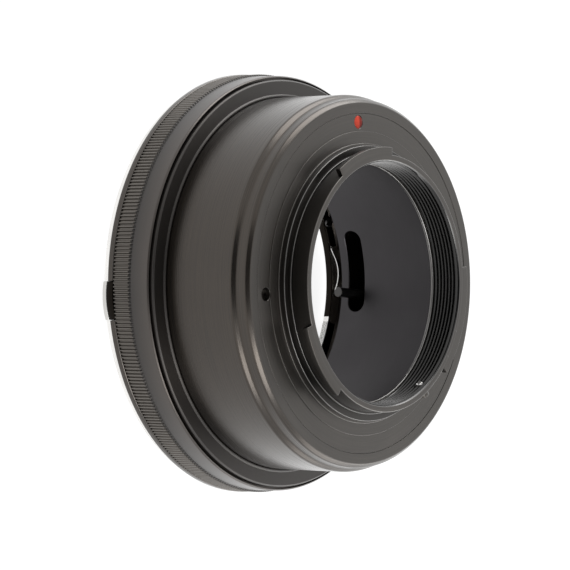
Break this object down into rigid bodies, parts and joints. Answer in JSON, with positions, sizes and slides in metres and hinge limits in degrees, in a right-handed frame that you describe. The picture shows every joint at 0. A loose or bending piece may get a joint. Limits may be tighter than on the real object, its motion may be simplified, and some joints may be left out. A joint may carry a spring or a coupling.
{
  "type": "lens mount adapter",
  "caption": "Tubular camera lens mount adapter with a female lens bayonet, a knurled aperture ring with an inner pin, a sprung lock pin and a male camera bayonet.",
  "frame": {"origin": "centre of the bright lens mount face, on the optical axis", "axes": "+Z along the optical axis from the lens to the camera, -Y towards the release button and the camera's lock hole, -X towards the red mounting marks"},
  "size_m": [0.0732, 0.0733, 0.0335],
  "materials": {
    "black_anodised": "black anodised, fine turned satin",
    "ring_anodised": "black anodised, knurled grip",
    "chrome_plate": "satin chrome on brass",
    "bright_steel": "bright machined",
    "dark_steel": "blackened",
    "spring_steel": "polished spring steel",
    "red_enamel": "glossy enamel fill"
  },
  "bodies": {
    "housing": {"main_body": "black_anodised", "camera_bayonet": "black_anodised", "camera_index_dot": "red_enamel", "bayonet_stop_screw": "bright_steel", "retaining_ring": "black_anodised", "detent_ball": "bright_steel", "detent_spring": "spring_steel", "lens_mount_plate": "chrome_plate", "mount_plate_screws": "bright_steel", "leaf_spring_1": "spring_steel", "leaf_spring_2": "spring_steel", "leaf_spring_3": "spring_steel", "leaf_spring_screws": "dark_steel", "lens_index_dot": "red_enamel", "lock_pin_spring": "spring_steel"},
    "grip": {"aperture_ring": "ring_anodised", "actuator_pin": "dark_steel"},
    "button": {"release_button": "black_anodised", "release_button_cap": "chrome_plate"},
    "latch": {"lock_pin": "bright_steel"}
  },
  "joints": [
    {"name": "aperture_ring_turn", "type": "hinge", "parent": "housing", "child": "grip", "pos_m": [0, 0, 0.006], "axis": [0, 0, 1], "range_deg": [-4.6, 24.5]},
    {"name": "release_button_slide", "type": "slide", "parent": "housing", "child": "button", "axis": [-0.014, 0.9999, 0], "range_m": [0, 0.0012], "stiffness_N_per_m": 60, "springref_m": -0.005},
    {"name": "lock_pin_slide", "type": "slide", "parent": "housing", "child": "latch", "axis": [0, 0, 1], "range_m": [0, 0.0012], "deforming": ["lock_pin_spring"]}
  ],
  "couplings": [
    {"joint": "lock_pin_slide", "follows": "release_button_slide", "ratio": 1}
  ]
}
